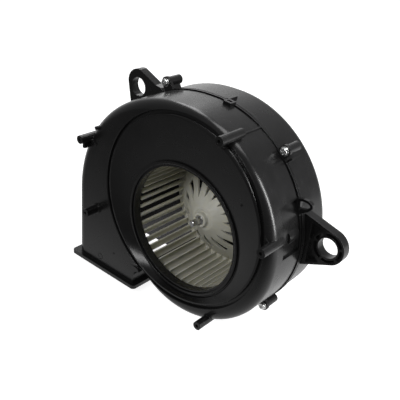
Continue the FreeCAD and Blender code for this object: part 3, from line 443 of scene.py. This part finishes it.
def brush_coil(side, low, high):
    """Open helix, built at one fixed length between the given ends, in place of the CAD spring,
    which shortens as its brush slides.
    """
    name = f"{side}_brush_coil"
    mesh = bpy.data.meshes.new(name)
    bm = bmesh.new()
    climb = (high - low) / (2 * math.pi * COIL_TURNS)
    rings = []
    for i in range(COIL_STEPS + 1):
        travel = i / COIL_STEPS
        turn = 2 * math.pi * COIL_TURNS * travel
        x, y = COIL_RADIUS * math.cos(turn), COIL_RADIUS * math.sin(turn)
        centre = Vector((x, BRUSH_AXIS_Y + y, low + (high - low) * travel))
        outward = Vector((math.cos(turn), math.sin(turn), 0.0))
        along = Vector((-y, x, climb)).normalized()
        across = along.cross(outward)
        ring = []
        for k in range(WIRE_SIDES):
            angle = 2 * math.pi * k / WIRE_SIDES
            offset = math.cos(angle) * outward + math.sin(angle) * across
            ring.append(bm.verts.new(centre + WIRE_RADIUS * offset))
        rings.append(ring)
    for ring, following in zip(rings, rings[1:]):
        for k in range(WIRE_SIDES):
            beside = (k + 1) % WIRE_SIDES
            bm.faces.new((ring[k], ring[beside], following[beside], following[k]))
    bm.faces.new(list(reversed(rings[0])))
    bm.faces.new(rings[-1])
    bmesh.ops.recalc_face_normals(bm, faces=bm.faces)
    bm.to_mesh(mesh)
    bm.free()
    mesh.materials.append(SPRING)
    mesh.shade_smooth()
    mesh.set_sharp_from_angle(angle=COIL_SHARP_ANGLE)
    obj = add_object(name, mesh)
    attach(obj, "housing")
    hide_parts(f"brush_spring_{side}")
    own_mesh(obj)


def floor_material():
    """Pale to the camera; to other rays bright behind the part, darker towards the front."""
    shader = Shader("pale_floor")
    path = shader.new("ShaderNodeLightPath")
    shader.put(
        base_color=shader.two_tone(shader.noise(3.0), dark=(0.50,) * 3, light=(0.52,) * 3),
        roughness=0.9,
        specular_ior_level=0.0,
        emission_color=(1.0, 1.0, 1.0),
        emission_strength=0.88,
    )
    xyz = shader.new("ShaderNodeSeparateXYZ")
    shader.join(shader.coord, xyz.inputs["Vector"])
    # (position from front to back, grey level)
    levels = [(0.12, 0.10), (0.30, 0.20), (0.44, 0.34), (0.62, 0.70), (0.76, 0.90)]
    depth = shader.span(xyz.outputs["Y"], low=0.0, high=1.0, start=-0.30, end=0.20)
    falloff = shader.ramp(depth, [(position, (level,) * 3) for position, level in levels])
    glow = shader.new("ShaderNodeEmission")
    glow.inputs["Strength"].default_value = 0.95
    shader.join(falloff, glow.inputs["Color"])
    pick = shader.new("ShaderNodeMixShader")
    shader.join(path.outputs["Is Camera Ray"], pick.inputs["Fac"])
    shader.join(glow.outputs["Emission"], pick.inputs[1])
    shader.join(shader.bsdf.outputs["BSDF"], pick.inputs[2])
    shader.join(pick.outputs["Shader"], shader.out.inputs["Surface"])
    return shader.material


def build_floor():
    mesh = bpy.data.meshes.new("studio_floor")
    bm = bmesh.new()
    z = LOW.z - FLOOR_GAP
    centre = bm.verts.new((FLOOR_X, FLOOR_Y, z))
    ring = []
    for i in range(FLOOR_SIDES):
        angle = 2 * math.pi * i / FLOOR_SIDES
        x = FLOOR_X + FLOOR_RADIUS * math.cos(angle)
        y = FLOOR_Y + FLOOR_RADIUS * math.sin(angle)
        ring.append(bm.verts.new((x, y, z)))
    for i in range(FLOOR_SIDES):
        bm.faces.new((centre, ring[i], ring[(i + 1) % FLOOR_SIDES]))
    bm.to_mesh(mesh)
    bm.free()
    floor = add_object("studio_floor", mesh)
    mesh.materials.append(floor_material())


# ------------------------------------------------------------------ world, lights and camera
def build_world():
    """White to the camera; to other rays a grey that brightens towards the back left."""
    world = bpy.data.worlds.new("studio")
    scene.world = world
    graph = Graph(world)
    out = graph.new("ShaderNodeOutputWorld")
    surround = graph.new("ShaderNodeBackground")
    backdrop = graph.new("ShaderNodeBackground")
    pick = graph.new("ShaderNodeMixShader")
    path = graph.new("ShaderNodeLightPath")
    coord = graph.new("ShaderNodeTexCoord")
    facing = graph.new("ShaderNodeVectorMath", operation="DOT_PRODUCT")
    facing.inputs[1].default_value = (-0.64, 0.77, 0.0)
    graph.join(coord.outputs["Generated"], facing.inputs[0])
    factor = graph.span(facing.outputs["Value"], low=0.0, high=1.0, start=-1.0, end=1.0)
    ramp = graph.new("ShaderNodeValToRGB")
    # A handle follows a place in the sorted list, not a stop, and new() sorts the list.
    # All handles are therefore taken before any is set, and the order below matters.
    elements = ramp.color_ramp.elements
    handles = [elements[0], elements[1], elements.new(0.55), elements.new(0.86)]
    levels = [(0.0, 0.10), (1.0, 0.66), (0.55, 0.20), (0.86, 0.34)]  # (position, grey level)
    for element, (position, level) in zip(handles, levels):
        element.position = position
        element.color = (level, level, level * 1.01, 1.0)
    graph.join(factor, ramp.inputs["Fac"])
    graph.join(ramp.outputs["Color"], surround.inputs["Color"])
    graph.feed(backdrop.inputs["Color"], (1.0, 1.0, 1.0))
    graph.join(path.outputs["Is Camera Ray"], pick.inputs["Fac"])
    graph.join(surround.outputs["Background"], pick.inputs[1])
    graph.join(backdrop.outputs["Background"], pick.inputs[2])
    graph.join(pick.outputs["Shader"], out.inputs["Surface"])


def area_light(name, place, target, power, size, size_y=None):
    light = bpy.data.lights.new(name, "AREA")
    light.energy = power
    light.shape = "RECTANGLE" if size_y else "SQUARE"
    light.size = size
    if size_y:
        light.size_y = size_y
    obj = add_object(name, light)
    obj.location = place
    obj.rotation_mode = "QUATERNION"
    obj.rotation_quaternion = (Vector(target) - Vector(place)).to_track_quat("-Z", "Y")
    obj.visible_camera = False


def build_lights():
    area_light("top_softbox", place=(0.15, 0.35, 1.1), target=(0.0, 0.03, 0.0),
               power=4.0, size=0.6)
    area_light("back_left_softbox", place=(-0.60, 0.62, 0.95), target=(-0.02, 0.02, 0.09),
               power=2.6, size=0.30, size_y=0.75)
    area_light("right_strip", place=(1.12, 0.45, 0.42), target=(0.07, 0.0, 0.04),
               power=13.0, size=0.22, size_y=1.0)
    area_light("front_fill", place=(0.2, -1.2, 0.9), target=(0.0, 0.0, 0.0),
               power=8.0, size=0.5)


def build_camera():
    eye = Vector((0.3075, -0.3792, 0.2883))
    right = Vector((0.7583, 0.6462, 0.0867))
    up = Vector((-0.3632, 0.3083, 0.8793))
    forward = Vector((-0.5414, 0.6982, -0.4684))
    data = bpy.data.cameras.new("camera")
    data.sensor_width = 36.0
    data.lens = 55.64
    data.clip_start = 0.01
    data.clip_end = 20.0
    camera = add_object("camera", data)
    turn = Matrix((right, up, -forward)).transposed()
    camera.matrix_world = Matrix.Translation(eye) @ turn.to_4x4()
    scene.camera = camera


apply_finishes()
brush_coil("upper", SPRING_INNER_Z, SPRING_OUTER_Z)
brush_coil("lower", -SPRING_OUTER_Z, -SPRING_INNER_Z)
build_floor()
build_world()
build_lights()
build_camera()
scene.view_settings.view_transform = "Standard"
scene.view_settings.look = "None"
